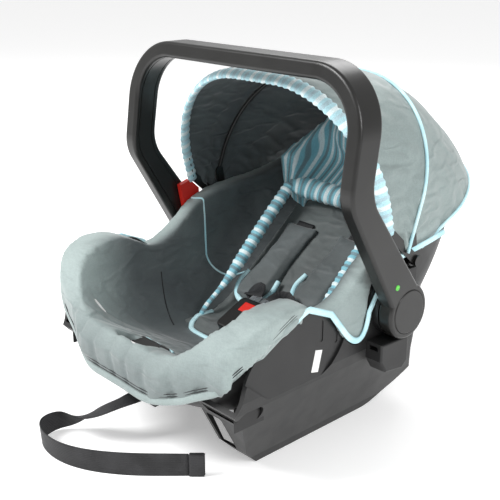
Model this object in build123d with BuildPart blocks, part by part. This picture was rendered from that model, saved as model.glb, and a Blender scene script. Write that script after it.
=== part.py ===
from build123d import *
import math
import os

os.makedirs("parts", exist_ok=True)

# Infant carrier seat with rocker base, swinging carry handle, folding canopy and three point harness.
# X is across the seat, +Y towards the head end, Z up from the floor, millimetres.

# driving dimensions
hub_y = 15.0              # handle axis along Y
hub_z = 186.0             # handle axis above the floor
wall = 4.0                # plastic wall
gap = 0.5                 # clearance between fixed soft and hard pieces
arm_inner = 208.0         # inner face of a handle arm
arm_outer = 231.0         # outer face of a handle arm
handle_top = 521.0        # top of the carry bar
handle_corner = 87.0      # outer corner radius of the handle
disc_radius = 39.0        # hub disc of the handle
button_radius = 31.0      # push button in the hub disc
skirt = 6.0               # cover skirt outside the shell
panel_outer = 196.5       # outer face of the rocker side panels
fabric = 2.0              # canopy cloth
webbing = 1.6             # strap thickness
belt_width = 38.0         # shoulder strap width
recline = 0.775           # rise of the backrest over its run

# working planes through the hub axis: side looks along X, front along Y, plan down
side = Plane(origin=(0, hub_y, 0), x_dir=(0, 1, 0), z_dir=(1, 0, 0))
front = Plane(origin=(0, hub_y, 0), x_dir=(1, 0, 0), z_dir=(0, -1, 0))
plan = Plane(origin=(0, hub_y, 0))

# tub stations: place along Y, half width, lowest point
shell_stations = [
    (-298, 84, 104), (-288, 118, 96), (-268, 150, 86), (-232, 176, 72), (-170, 188, 58),
    (-80, 190, 46), (0, 190, 56), (80, 187, 106), (140, 175, 158), (190, 157, 212),
    (222, 138, 252), (248, 116, 284),
]
cavity_stations = [
    (-340, 112, 178), (-296, 128, 166), (-262, 144, 152), (-225, 156, 128), (-170, 164, 102),
    (-100, 167, 88), (-45, 167, 88), (20, 167, 138), (90, 160, 193), (150, 148, 239),
    (196, 128, 276), (222, 106, 300),
]
rim_line = [
    (-330, 118), (-298, 146), (-267, 192), (-240, 218), (-213, 228), (-176, 226), (-149, 212),
    (-120, 202), (-98, 208), (-76, 222), (-28, 256), (60, 272), (160, 296), (300, 344),
]
hem_line = [
    (-330, 100), (-296, 104), (-278, 122), (-262, 164), (-230, 196), (-180, 221), (-154, 226),
    (-128, 212), (-106, 186), (-82, 156), (-62, 148), (-48, 166), (-42, 206), (-24, 240),
    (20, 250), (90, 258), (160, 272), (300, 318),
]


def tub(stations, grow):
    """Closed body lofted through rounded sections, grown outwards by a constant"""
    depth = 520
    with BuildPart() as body:
        for index, (y, half, low) in enumerate(stations):
            end = {0: -grow, len(stations) - 1: grow}.get(index, 0)
            with BuildSketch(front.offset(-(y + end))):
                with Locations((0, low - grow + depth / 2)):
                    RectangleRounded(2 * (half + grow), depth, 0.54 * half + grow)
        loft()
    return body.part


def under(line, lift, reach=260):
    """Everything below a curve drawn in the side view"""
    with BuildPart() as region:
        with BuildSketch(side):
            with BuildLine():
                top = Spline(*[(y, z + lift) for y, z in line])
                Polyline(top @ 1, ((top @ 1).X, -60), ((top @ 0).X, -60), top @ 0)
            make_face()
        extrude(amount=reach, both=True)
    return region.part


shell_outside = tub(shell_stations, 0)
shell_inside = tub(shell_stations, -wall)
shell_clear = tub(shell_stations, gap)
shell_lining = tub(shell_stations, -wall - gap)
cover_outside = tub(shell_stations, skirt)
cavity = tub(cavity_stations, 0)
cavity_back = tub(cavity_stations, 11)
foam_back = tub(cavity_stations, 34)
under_rim = under(rim_line, 0)
under_rim_clear = under(rim_line, gap)
under_cap = under(rim_line, 8)
under_liner = under(rim_line, -6)
under_hem = under(hem_line, 0)


def recline_plane(y, lift):
    """Plane on the backrest: local x across, local y up the backrest"""
    rise = 88 + recline * (y + 45)
    back = Vector(0, 1, recline).normalized()
    normal = Vector(1, 0, 0).cross(back)
    return Plane(origin=Vector(0, hub_y + y, rise) + normal * lift, x_dir=(1, 0, 0), z_dir=normal)


# harness slots run through cover, liner and shell
with BuildPart() as slot_cut:
    with BuildSketch(recline_plane(120, 20)):
        with GridLocations(110, 46, 2, 2):
            SlotOverall(46, 12)
    extrude(amount=-130)
    with BuildSketch(plan.offset(140)):
        with Locations((0, -135)):
            SlotOverall(46, 12)
    extrude(amount=-130)
    with BuildSketch(plan.offset(117)):
        with Locations((0, -268)):
            RectangleRounded(63, 35, 4)
    extrude(amount=60)
harness_slots = slot_cut.part

with BuildPart() as shell:
    add(shell_outside)
    add(shell_inside, mode=Mode.SUBTRACT)
    add(under_rim, mode=Mode.INTERSECT)
    add(harness_slots, mode=Mode.SUBTRACT)
shell.part.label = "seat_shell"
export_step(shell.part, "parts/seat_shell.step")

with BuildPart() as liner:
    add(foam_back)
    add(shell_lining, mode=Mode.INTERSECT)
    add(under_liner, mode=Mode.INTERSECT)
    add(cavity_back, mode=Mode.SUBTRACT)
    add(harness_slots, mode=Mode.SUBTRACT)
liner.part.label = "foam_liner"
export_step(liner.part, "parts/foam_liner.step")


def strip(start, end):
    """Side view band of the handle between two fractions of its width, with the bend half way up"""
    leading = [(-30, 190), (-128, 356), (-102, 540)]
    trailing = [(22, 215), (-86, 360), (-58, 540)]
    near = [(a + (c - a) * start, b + (d - b) * start) for (a, b), (c, d) in zip(leading, trailing)]
    far = [(a + (c - a) * end, b + (d - b) * end) for (a, b), (c, d) in zip(leading, trailing)]
    with BuildPart() as band:
        with BuildSketch(side):
            with BuildLine():
                first = FilletPolyline(*near, radius=60)
                last = FilletPolyline(*far, radius=60)
                Line(first @ 0, last @ 0)
                Line(first @ 1, last @ 1)
            make_face()
        extrude(amount=260, both=True)
    return band.part


def arch(inner, outer):
    """Front view band of the handle between two half widths"""
    drop = arm_outer - outer
    rise = arm_outer - inner
    middle = handle_top - 300
    with BuildPart() as band:
        with BuildSketch(front.offset(-200)):
            with Locations((0, middle)):
                RectangleRounded(2 * outer, 600 - 2 * drop, handle_corner - drop)
                RectangleRounded(2 * inner, 600 - 2 * rise, handle_corner - rise, mode=Mode.SUBTRACT)
        extrude(amount=500)
    return band.part


def puck(radius, start, end, y=0.0, z=hub_z):
    """Round solid along X on both sides of the seat"""
    with BuildPart() as pair:
        for sign in (-1, 1):
            with BuildSketch(side.offset(sign * start)):
                with Locations((y, z)):
                    Circle(radius)
            extrude(amount=sign * (end - start))
    return pair.part


arm_split = (arm_inner + arm_outer) / 2
strip_whole = strip(0, 1)
strip_core = strip(0.1, 0.9)
arch_whole = arch(arm_inner, arm_outer)
arch_core = arch(arm_inner + 3, arm_outer - 3)
arch_inner = arch(arm_inner - 2, arm_split)
hub_disc = puck(disc_radius, arm_inner, arm_outer)
hub_zone = puck(disc_radius + 1, arm_inner - 1, arm_outer + 1)
button_recess = puck(button_radius + 0.4, 221, arm_outer + 1)
gear_pocket = puck(22, 211.5, 222)
pin_bore = puck(10, 205, 213)
dot_hole = puck(4.1, 228, arm_outer + 1, -28, 228)
grooves = [strip(0.2, 0.235), strip(0.765, 0.8)]
groove_arch = arch(arm_inner - 1, arm_inner + 1.2)

with BuildPart() as handle_core:
    add(strip_core)
    add(arch_core, mode=Mode.INTERSECT)
    add(hub_zone, mode=Mode.SUBTRACT)
hollow = handle_core.part

with BuildPart() as handle:
    add(strip_whole)
    add(arch_whole, mode=Mode.INTERSECT)
    add(hub_disc)
    low = handle.faces().filter_by(Axis.X).sort_by(Axis.X)
    edges = (low[0:2] + low[-2:]).edges()
    fillet(edges, 5)
whole_handle = handle.part

with BuildPart() as groove_cut:
    for groove in grooves:
        add(groove)
    add(groove_arch, mode=Mode.INTERSECT)
    add(hub_zone, mode=Mode.SUBTRACT)
handle_grooves = groove_cut.part

with BuildPart() as inner_half:
    add(whole_handle)
    add(arch_inner, mode=Mode.INTERSECT)
    for cut in (hollow, handle_grooves, gear_pocket, pin_bore):
        add(cut, mode=Mode.SUBTRACT)
inner_half.part.label = "handle_inner_shell"
export_step(inner_half.part, "parts/handle_inner_shell.step")

with BuildPart() as outer_half:
    add(whole_handle)
    for cut in (arch_inner, hollow, gear_pocket, button_recess, dot_hole):
        add(cut, mode=Mode.SUBTRACT)
outer_half.part.label = "handle_outer_shell"
export_step(outer_half.part, "parts/handle_outer_shell.step")


def both_sides(make):
    """Run a maker for the left (-1) and right (+1) side"""
    for name, sign in (("left", -1), ("right", 1)):
        make(name, sign)


# cover: skirt outside the shell, cap over the rim, padded inside
with BuildPart() as cover_inside:
    add(cavity_back)
    add(cover_outside, mode=Mode.INTERSECT)
lining = cover_inside.part
with BuildPart() as shell_space:
    add(shell_clear)
    add(shell_lining, mode=Mode.SUBTRACT)
    add(under_rim_clear, mode=Mode.INTERSECT)
with BuildPart() as shell_fill:
    add(shell_clear)
    add(under_rim_clear, mode=Mode.INTERSECT)
with BuildPart() as cover:
    add(cover_outside)
    add(under_hem, mode=Mode.SUBTRACT)
    add(shell_fill.part, mode=Mode.SUBTRACT)
    add(lining)
    add(under_cap, mode=Mode.INTERSECT)
    add(cavity, mode=Mode.SUBTRACT)
    add(shell_space.part, mode=Mode.SUBTRACT)
    add(harness_slots, mode=Mode.SUBTRACT)


# rocker rails: a slanting outer wall open towards the middle, with a front recess and a latch slot
rail_top = under(hem_line, -1)


def rail_profile(skin):
    """Side outline of a rail, drawn in by a wall"""
    with BuildPart() as body:
        with BuildSketch(side):
            with BuildLine():
                sole = Polyline((-200 + skin, skin), (10, skin))
                heel = Spline(sole @ 1, (60 - skin, 14 + skin), (104 - skin, 42 + skin), (136 - skin, 88),
                              (158 - skin, 150), tangents=((1, 0), (0.3, 1)))
                Polyline(heel @ 1, (160 - skin, 186), (110 - skin, 226 - skin), (-60, 230 - skin), (-120, 250 - skin),
                         (-262 + skin, 190), (-288 + 2 * skin, 124), (-256 + 2 * skin, 84), (-226 + skin, 26), sole @ 0)
            make_face()
        extrude(amount=260, both=True)
    return body.part


def rail_section(sign, skin):
    """Front view outline of a rail, with its outer faces moved in by a skin"""
    with BuildPart() as body:
        with BuildSketch(front.offset(-300)):
            with BuildLine():
                Polyline((sign * 98, -20), (sign * (138 - skin), -20), (sign * (146 - skin), 12),
                         (sign * (191 - skin), 116), (sign * (panel_outer - 1.8 * skin), 134),
                         (sign * (panel_outer - 1.8 * skin), 300), (sign * 98, 300), close=True)
            make_face()
        extrude(amount=620)
    return body.part


rail_whole = rail_profile(0)
rail_core = rail_profile(wall)
with BuildPart() as scoop_cut:
    with BuildSketch(side.offset(-260)):
        with BuildLine():
            lower = Spline((-300, 176), (-262, 152), (-214, 116), (-166, 109), (-126, 126), (-92, 162), (-84, 200))
            Polyline(lower @ 1, (-84, 300), (-300, 300), lower @ 0)
        make_face()
    extrude(amount=520)
    with BuildSketch(front.offset(-320)):
        Rectangle(2 * (panel_outer - 3.5), 900)
    extrude(amount=640, mode=Mode.SUBTRACT)
scoop = scoop_cut.part


def rear_wedge(sign, inset):
    """Region outside a rail's back corner, where its side wall turns in behind the hub"""
    with BuildPart() as body:
        with BuildSketch(plan.offset(-20)):
            with BuildLine():
                Polyline((sign * 260, 56 - inset), (sign * 196, 58 - inset), (sign * 150, 118 - inset),
                         (sign * 118, 200 - inset), (sign * 260, 200), close=True)
            make_face()
        extrude(amount=400)
    return body.part


def make_rail(name, sign):
    outer = rail_section(sign, 0)
    core = rail_section(sign, wall)
    wedge = rear_wedge(sign, 0)
    core_wedge = rear_wedge(sign, 2 * wall)
    with BuildPart() as hollow_rail:
        add(rail_core)
        add(core, mode=Mode.INTERSECT)
        add(core_wedge, mode=Mode.SUBTRACT)
    with BuildPart() as rail:
        add(rail_whole)
        add(outer, mode=Mode.INTERSECT)
        add(rail_top, mode=Mode.INTERSECT)
        add(hollow_rail.part, mode=Mode.SUBTRACT)
        add(shell_clear, mode=Mode.SUBTRACT)
        add(scoop, mode=Mode.SUBTRACT)
        add(wedge, mode=Mode.SUBTRACT)
        with BuildSketch(front.offset(180)):
            with Locations((sign * 119, 52)):
                RectangleRounded(30, 56, 5)
        extrude(amount=120, mode=Mode.SUBTRACT)
        with BuildSketch(side.offset(sign * 120)):
            with Locations((-250, 104)):
                SlotOverall(42, 24)
            with Locations((-268, 106)):
                Rectangle(14, 5)
        extrude(amount=sign * 100, mode=Mode.SUBTRACT)
        with BuildSketch(side.offset(sign * 192)):
            with Locations((-132, 186), (-104, 176)):
                SlotOverall(30, 6, rotation=90)
        extrude(amount=sign * 10, mode=Mode.SUBTRACT)
    solids = sorted(rail.part.solids(), key=lambda s: s.volume)
    rail.part.label = f"rocker_rail_{name}"
    export_step(rail.part, f"parts/rocker_rail_{name}.step")


both_sides(make_rail)
cover.part.label = "seat_cover"
export_step(cover.part, "parts/seat_cover.step")


# hub bases with the pivot pins, and the lap belt hooks below them
def make_hub(name, sign):
    with BuildPart() as base:
        with BuildSketch(side.offset(sign * panel_outer)):
            with Locations((0, hub_z)):
                Circle(37)
        extrude(amount=sign * (arm_inner - panel_outer - 0.6))
        with BuildSketch(side.offset(sign * panel_outer)):
            with Locations((0, hub_z)):
                Circle(9.95)
        extrude(amount=sign * (214 - panel_outer))
        with BuildSketch(side.offset(sign * 214)):
            with Locations((0, hub_z)):
                Circle(3)
        extrude(amount=-sign * 8, mode=Mode.SUBTRACT)
    base.part.label = f"hub_base_{name}"
    export_step(base.part, f"parts/hub_base_{name}.step")

    with BuildPart() as bolt:
        with BuildSketch(side.offset(sign * 214)):
            with Locations((0, hub_z)):
                Circle(7)
        extrude(amount=sign * 1.5)
        with BuildSketch(side.offset(sign * 206.5)):
            with Locations((0, hub_z)):
                Circle(2.9)
        extrude(amount=sign * 7.5)
    bolt.part.label = f"pivot_screw_{name}"
    export_step(bolt.part, f"parts/pivot_screw_{name}.step")

    with BuildPart() as hook:
        with BuildSketch(side.offset(sign * panel_outer)):
            with BuildLine():
                Polyline((-45, 147), (13, 145), (13, 108), (2, 99), (-34, 104), (-45, 122), close=True)
            make_face()
        extrude(amount=sign * 27)
        outer_edges = hook.faces().sort_by(Axis.X)[-1 if sign > 0 else 0].edges()
        fillet(outer_edges, 3)
        with BuildSketch(side.offset(sign * (panel_outer + 6))):
            with Locations((-14, 139)):
                Rectangle(90, 6)
        extrude(amount=sign * 14, mode=Mode.SUBTRACT)
    hook.part.label = f"lap_belt_hook_{name}"
    export_step(hook.part, f"parts/lap_belt_hook_{name}.step")

    with BuildPart() as guide:
        with BuildSketch(side.offset(sign * 197)):
            with BuildLine():
                Polyline((-46, 286), (-26, 292), (-8, 276), (-6, 240), (-36, 238), close=True)
            make_face()
        extrude(amount=sign * 9)
    guide.part.label = f"belt_guide_{name}"
    export_step(guide.part, f"parts/belt_guide_{name}.step")


both_sides(make_hub)


# push buttons in the hub discs with the lock gears behind them
def make_button(name, sign):
    with BuildPart() as button:
        with BuildSketch(side.offset(sign * 225.5)):
            with Locations((0, hub_z)):
                Circle(button_radius)
        extrude(amount=sign * 6.5)
        rim = button.faces().sort_by(Axis.X)[-1 if sign > 0 else 0].edges()
        fillet(rim, 2)
        with BuildSketch(side.offset(sign * 225.5)):
            with Locations((0, hub_z)):
                Circle(14)
        extrude(amount=-sign * 5.5)
    button.part.label = f"hub_button_{name}"
    export_step(button.part, f"parts/hub_button_{name}.step")

    with BuildPart() as gear:
        with BuildSketch(side.offset(sign * 216.5)):
            with Locations((0, hub_z)):
                Circle(17)
                with PolarLocations(17.5, 8):
                    Rectangle(5, 6)
                Circle(11, mode=Mode.SUBTRACT)
        extrude(amount=sign * 3.5)
    gear.part.label = f"lock_gear_{name}"
    export_step(gear.part, f"parts/lock_gear_{name}.step")

    with BuildPart() as dot:
        with BuildSketch(side.offset(sign * 228.5)):
            with Locations((-28, 228)):
                Circle(4)
        extrude(amount=sign * 3)
        fillet(dot.faces().sort_by(Axis.X)[-1 if sign > 0 else 0].edges(), 0.6)
    dot.part.label = f"lock_indicator_{name}"
    export_step(dot.part, f"parts/lock_indicator_{name}.step")


both_sides(make_button)


# canopy: cloth panels stretched over two bows that hinge on knobs beside the rim
bow_y = 48.0              # canopy hinge along Y
bow_z = 240.0             # canopy hinge height
hoops = {                 # lean back in degrees, foot along Y, half width, height, corner, base
    "front": (-14, 0, 205, 274, 165, 80),
    "crown": (4, 6, 205, 277, 165, 80),
    "middle": (20, 10, 205, 276, 165, 80),
    "dome": (43, 10, 200, 280, 155, 80),
    "rear": (65.7, 10, 190, 290, 133, 116),
}


def hoop_plane(name):
    lean, foot = math.radians(hoops[name][0]), hoops[name][1]
    up = Vector(0, math.sin(lean), math.cos(lean))
    return Plane(origin=(0, hub_y + foot, 220), x_dir=(1, 0, 0), z_dir=Vector(1, 0, 0).cross(up))


def cloth(names, inset, drop):
    """Solid lofted through filled hoops"""
    with BuildPart() as body:
        for name in names:
            half, height, corner, base = hoops[name][2:]
            half, height, base = half - inset, height - inset, base - drop
            with BuildSketch(hoop_plane(name)):
                with BuildLine():
                    left = Line((-half, base), (-half, height - corner))
                    bend = RadiusArc(left @ 1, (corner - half, height), corner)
                    top = Line(bend @ 1, (half - corner, height))
                    turn = RadiusArc(top @ 1, (half, height - corner), corner)
                    right = Line(turn @ 1, (half, base))
                    Line(right @ 1, left @ 0)
                make_face()
        loft()
    return body.part


def make_panel(label, names):
    outer = cloth(names, 0, 0)
    inner = cloth(names, fabric, 30)
    with BuildPart() as panel:
        add(outer)
        add(inner, mode=Mode.SUBTRACT)
    panel.part.label = label
    export_step(panel.part, f"parts/{label}.step")


make_panel("canopy_front_panel", ["front", "crown", "middle"])
make_panel("canopy_rear_panel", ["middle", "dome", "rear"])


def make_bow(label, hoop, lug_start):
    """Round rod bent along a hoop, with flat lugs that turn on the knobs"""
    half, height, corner = [size - inset for size, inset in zip(hoops[hoop][2:5], (5.3, 6.8, 6))]
    plane = hoop_plane(hoop)
    foot = plane.from_local_coords((0, 82, 0))
    foot_y, foot_z = foot.Y - hub_y, foot.Z
    reach = math.hypot(foot_y - bow_y, foot_z - bow_z)
    lean = math.degrees(math.atan2(foot_z - bow_z, foot_y - bow_y))
    with BuildPart() as bow:
        with BuildLine(plane) as path:
            left = Line((-half, 78), (-half, height - corner))
            bend = RadiusArc(left @ 1, (corner - half, height), corner)
            top = Line(bend @ 1, (half - corner, height))
            turn = RadiusArc(top @ 1, (half, height - corner), corner)
            Line(turn @ 1, (half, 78))
        with BuildSketch(Plane(origin=path.wires()[0] @ 0, z_dir=path.wires()[0] % 0)):
            Circle(3)
        sweep()
        for sign in (-1, 1):
            with BuildSketch(side.offset(sign * lug_start)):
                with Locations(((foot_y + bow_y) / 2, (foot_z + bow_z) / 2)):
                    SlotCenterToCenter(reach, 14, rotation=lean)
                with Locations((bow_y, bow_z)):
                    Circle(3.2, mode=Mode.SUBTRACT)
            extrude(amount=sign * 3)
    bow.part.label = label
    export_step(bow.part, f"parts/{label}.step")


make_bow("canopy_front_bow", "front", 200)
make_bow("canopy_middle_bow", "middle", 196.6)


def make_knob(name, sign):
    with BuildPart() as knob:
        for radius, start, end in ((9, 190.7, 196.3), (3, 196.3, 203.5), (8, 203.4, 207)):
            with BuildSketch(side.offset(sign * start)):
                with Locations((bow_y, bow_z)):
                    Circle(radius)
            extrude(amount=sign * (end - start))
    knob.part.label = f"canopy_knob_{name}"
    export_step(knob.part, f"parts/canopy_knob_{name}.step")


both_sides(make_knob)


# padded insert and head hugger lying in the cover
insert_top = tub(cavity_stations, -12)
insert_base = tub(cavity_stations, -0.6)
hugger_base = tub(cavity_stations, -12.6)
hugger_top = tub(cavity_stations, -34)


def block(half, start, end, top):
    """Box across the seat between two places along Y, cut off above a height over the backrest"""
    middle = (start + end) / 2
    with BuildPart() as body:
        with BuildSketch(plan):
            with Locations((0, middle)):
                Rectangle(2 * half, end - start)
        extrude(amount=600)
        with BuildSketch(recline_plane(0, top)):
            Rectangle(2000, 2000)
        extrude(amount=900, mode=Mode.SUBTRACT)
    return body.part


insert_zone = block(112, -120, 218, 70)
hugger_zone = block(140, 118, 204, 84)

with BuildPart() as insert:
    add(insert_base)
    add(insert_top, mode=Mode.SUBTRACT)
    add(insert_zone, mode=Mode.INTERSECT)
    add(harness_slots, mode=Mode.SUBTRACT)
insert.part.label = "body_insert"
export_step(insert.part, "parts/body_insert.step")

with BuildPart() as hugger:
    add(hugger_base)
    add(hugger_top, mode=Mode.SUBTRACT)
    add(hugger_zone, mode=Mode.INTERSECT)
    add(harness_slots, mode=Mode.SUBTRACT)
    with BuildSketch(recline_plane(118, -20)):
        Rectangle(176, 60)
    extrude(amount=80, mode=Mode.SUBTRACT)
hugger.part.label = "head_hugger"
export_step(hugger.part, "parts/head_hugger.step")


# harness: straps from the backrest slots to the buckle, pads on the straps
def ribbon(points, width, thickness):
    """Flat band through points, its width level across the seat"""
    with BuildPart() as band:
        for index, point in enumerate(points):
            before = points[max(index - 1, 0)]
            after = points[min(index + 1, len(points) - 1)]
            along = (Vector(*after) - Vector(*before)).normalized()
            across = (Vector(1, 0, 0) - along * along.X).normalized()
            with BuildSketch(Plane(origin=Vector(*point), x_dir=across, z_dir=along)):
                Rectangle(width, thickness)
        loft(ruled=True)
    return band.part


def on_recline(x, y, lift):
    place = recline_plane(y, lift).origin
    return (x, place.Y, place.Z)


pad_width = 64.0
pad_thickness = 10.0
buckle_plane = Plane(
    origin=(0, hub_y - 92, 131), x_dir=(1, 0, 0), z_dir=Vector(0, -0.42, 0.91).normalized()
)


def on_buckle(x, y, z):
    place = buckle_plane.from_local_coords((x, y, z))
    return (place.X, place.Y, place.Z)


strap_route = {
    "left": [on_recline(-55, 112, 18), on_recline(-59, -20, 19), on_buckle(-22, 62, 0), on_buckle(-22, 50, -0.5)],
    "right": [on_recline(55, 112, 18), on_recline(44, 0, 19), on_buckle(22, 62, 0), on_buckle(22, 50, -0.5)],
}
for name, route in strap_route.items():
    strap = ribbon(route, belt_width, webbing)
    top, low = Vector(*route[0]), Vector(*route[1])
    pad_ends = [top + (low - top) * 0.03, top + (low - top) * 0.92]
    outer = ribbon([tuple(p) for p in pad_ends], pad_width, pad_thickness)
    bore = ribbon([tuple(top), tuple(low + (low - top) * 0.1)], belt_width + 8, webbing + 4.4)
    with BuildPart() as shoulder:
        add(strap)
    shoulder.part.label = f"shoulder_strap_{name}"
    export_step(shoulder.part, f"parts/shoulder_strap_{name}.step")
    with BuildPart() as pad:
        add(outer)
        add(bore, mode=Mode.SUBTRACT)
    pad.part.label = f"shoulder_pad_{name}"
    export_step(pad.part, f"parts/shoulder_pad_{name}.step")

with BuildPart() as buckle:
    with BuildSketch(buckle_plane.offset(-8)):
        RectangleRounded(54, 64, 9)
    extrude(amount=16)
    fillet(buckle.faces().filter_by(buckle_plane).edges(), 3)
    with BuildSketch(buckle_plane.offset(1)):
        with Locations((0, 14)):
            Rectangle(24.8, 18.8)
    extrude(amount=10, mode=Mode.SUBTRACT)
    with BuildSketch(buckle_plane.offset(-2)):
        with Locations((0, 32)):
            Rectangle(44, 40)
    extrude(amount=3, mode=Mode.SUBTRACT)
buckle.part.label = "buckle_body"
export_step(buckle.part, "parts/buckle_body.step")

with BuildPart() as press:
    with BuildSketch(buckle_plane.offset(4.8)):
        with Locations((0, 14)):
            Rectangle(24, 18)
    extrude(amount=4)
    fillet(press.faces().filter_by(buckle_plane).sort_by(Axis.Z)[-1].edges(), 1)
press.part.label = "buckle_button"
export_step(press.part, "parts/buckle_button.step")

for name, sign in (("left", -1), ("right", 1)):
    with BuildPart() as tongue:
        with BuildSketch(buckle_plane.offset(-1.4)):
            with Locations((sign * 11, 31)):
                RectangleRounded(20, 34, 4)
        extrude(amount=1.8)
    tongue.part.label = f"buckle_tongue_{name}"
    export_step(tongue.part, f"parts/buckle_tongue_{name}.step")

crotch_route = [on_buckle(0, -32.5, 0), on_buckle(0, -44, -4), (0, hub_y - 135, 84), (0, hub_y - 135, 62)]
with BuildPart() as crotch:
    add(ribbon(crotch_route, belt_width, webbing + 1))
crotch.part.label = "crotch_strap"
export_step(crotch.part, "parts/crotch_strap.step")


# harness adjuster in the front lip: housing with a press button, and the free end of the strap
with BuildPart() as housing:
    with BuildSketch(plan.offset(118)):
        with Locations((0, -268)):
            RectangleRounded(62, 34, 4)
    extrude(amount=24)
    with BuildSketch(plan.offset(132)):
        with Locations((0, -268)):
            Rectangle(40.8, 18.8)
    extrude(amount=20, mode=Mode.SUBTRACT)
housing.part.label = "adjuster_housing"
export_step(housing.part, "parts/adjuster_housing.step")
with BuildPart() as trigger:
    with BuildSketch(plan.offset(137)):
        with Locations((0, -268)):
            RectangleRounded(40, 18, 4)
    extrude(amount=9)
trigger.part.label = "adjuster_button"
export_step(trigger.part, "parts/adjuster_button.step")

strap_width = 32.0
strap_points = [
    (-18, -262, 62), (-22, -296, 59), (-48, -322, 42), (-84, -334, 24), (-110, -352, 16.4), (-103, -381, 16.2),
    (-73, -394, 16.2), (-32, -394, 16.2), (10, -377, 16.2), (50, -347, 16.2), (82, -315, 16.2), (108, -287, 16.2),
]


def route_radii(points):
    radii = []
    for a, b, c in zip(points, points[1:], points[2:]):
        first, second = Vector(*b) - Vector(*a), Vector(*c) - Vector(*b)
        half_turn = math.radians(first.get_angle(second)) / 2
        radii.append(0.45 * min(first.length, second.length) / math.tan(half_turn))
    return radii


strap_radii = route_radii(strap_points)
with BuildPart() as free_strap:
    with BuildLine(plan) as strap_line:
        FilletPolyline(*strap_points, radius=strap_radii)
    with BuildSketch(Plane(origin=strap_line.wires()[0] @ 0, z_dir=strap_line.wires()[0] % 0)):
        Circle(strap_width / 2)
    sweep()
free_strap.part.label = "adjuster_strap"
export_step(free_strap.part, "parts/adjuster_strap.step")
length = strap_line.wires()[0].length
print("strap radii", [round(r) for r in strap_radii], "length", round(length))
print("strap volume", round(free_strap.part.volume), "section by length",
      round(math.pi * strap_width**2 / 4 * length))

end_run = (Vector(*strap_points[-1]) - Vector(*strap_points[-2])).normalized()
end_plane = Plane(origin=Vector(*strap_points[-1]) + Vector(0, hub_y, 0), x_dir=Vector(0, 0, 1), z_dir=end_run)
with BuildPart() as stop:
    with BuildSketch(end_plane):
        Rectangle(strap_width + 0.2, 9)
    extrude(amount=22)
stop.part.label = "strap_end"
export_step(stop.part, "parts/strap_end.step")

with BuildPart() as exit_guide:
    with BuildSketch(front.offset(262)):
        with Locations((-18, 62)):
            RectangleRounded(52, 26, 4)
            Rectangle(36, 5, mode=Mode.SUBTRACT)
    extrude(amount=-14)
exit_guide.part.label = "strap_guide"
export_step(exit_guide.part, "parts/strap_guide.step")

with BuildPart() as label_plate:
    with BuildSketch(side.offset(panel_outer - 3.5)):
        with Locations((-140, 146)):
            Rectangle(13, 30, rotation=-14)
    extrude(amount=0.4)
label_plate.part.label = "rating_label"
export_step(label_plate.part, "parts/rating_label.step")
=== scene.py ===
import math
import bmesh
import bpy
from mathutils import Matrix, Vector, noise
from mathutils.bvhtree import BVHTree


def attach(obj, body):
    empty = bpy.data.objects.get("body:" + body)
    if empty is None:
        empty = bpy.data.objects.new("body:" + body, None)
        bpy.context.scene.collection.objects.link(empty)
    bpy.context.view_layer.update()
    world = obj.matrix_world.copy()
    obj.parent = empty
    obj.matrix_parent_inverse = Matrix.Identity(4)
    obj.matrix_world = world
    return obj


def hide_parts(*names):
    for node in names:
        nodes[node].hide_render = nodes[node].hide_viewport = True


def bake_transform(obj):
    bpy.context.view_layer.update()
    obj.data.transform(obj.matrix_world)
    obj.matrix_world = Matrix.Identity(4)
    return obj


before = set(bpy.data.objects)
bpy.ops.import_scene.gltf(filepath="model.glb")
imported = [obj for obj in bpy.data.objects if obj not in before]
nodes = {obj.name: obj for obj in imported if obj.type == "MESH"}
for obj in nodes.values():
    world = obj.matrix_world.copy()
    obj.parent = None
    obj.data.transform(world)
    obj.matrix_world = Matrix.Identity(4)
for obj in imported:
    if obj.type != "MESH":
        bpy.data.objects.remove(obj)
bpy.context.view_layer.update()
bpy.ops.object.select_all(action="DESELECT")
scene = bpy.context.scene
hubY = 0.015  # the handle hinge along Y, in metres
print("frame loaded")


def place(x, y, z):  # millimetres from the handle hinge line to metres in the frame
    return Vector((x / 1000, y / 1000 + hubY, z / 1000))


def smoothStep(low, high, value):
    t = min(max((value - low) / (high - low), 0), 1)
    return t * t * (3 - 2 * t)


# camera, light and floor
cameraLook = {"place": (0.9014, -0.9038, 0.6626), "tilt": 70.83, "turn": 46.97, "lens": 64.8, "sensor": 36}
cameraData = bpy.data.cameras.new("camera")
cameraData.lens = cameraLook["lens"]
cameraData.sensor_width = cameraLook["sensor"]
camera = bpy.data.objects.new("camera", cameraData)
camera.location = cameraLook["place"]
camera.rotation_euler = (math.radians(cameraLook["tilt"]), 0, math.radians(cameraLook["turn"]))
scene.collection.objects.link(camera)
scene.camera = camera

lightLook = {
    "key": {"place": (-1.1, -2.0, 2.2), "size": 1.1, "power": 78},
    "side": {"place": (2.3, -0.2, 1.5), "size": 1.0, "power": 30},
    "back": {"place": (-1.2, 1.8, 2.2), "size": 1.6, "power": 30},
}
lightAim = Vector((0, 0, 0.25))
for name, look in lightLook.items():
    lightData = bpy.data.lights.new(name, "AREA")
    lightData.energy = look["power"]
    lightData.size = look["size"]
    light = bpy.data.objects.new(name, lightData)
    light.location = look["place"]
    light.rotation_euler = (lightAim - light.location).to_track_quat("-Z", "Y").to_euler()
    scene.collection.objects.link(light)
plainWhite = (1, 1, 1, 1)
worldLook = {"glow": 0.62, "backdrop": 0.97, "floor": 90}
world = bpy.data.worlds.new("studio")
scene.world = world
world.use_nodes = True
studio = world.node_tree
glow = studio.nodes["Background"]
glow.inputs[0].default_value = plainWhite
glow.inputs[1].default_value = worldLook["glow"]
backdrop = studio.nodes.new("ShaderNodeBackground")  # what is seen past the floor is white
backdrop.inputs[0].default_value = plainWhite
backdrop.inputs[1].default_value = worldLook["backdrop"]
either = studio.nodes.new("ShaderNodeMixShader")
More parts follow.
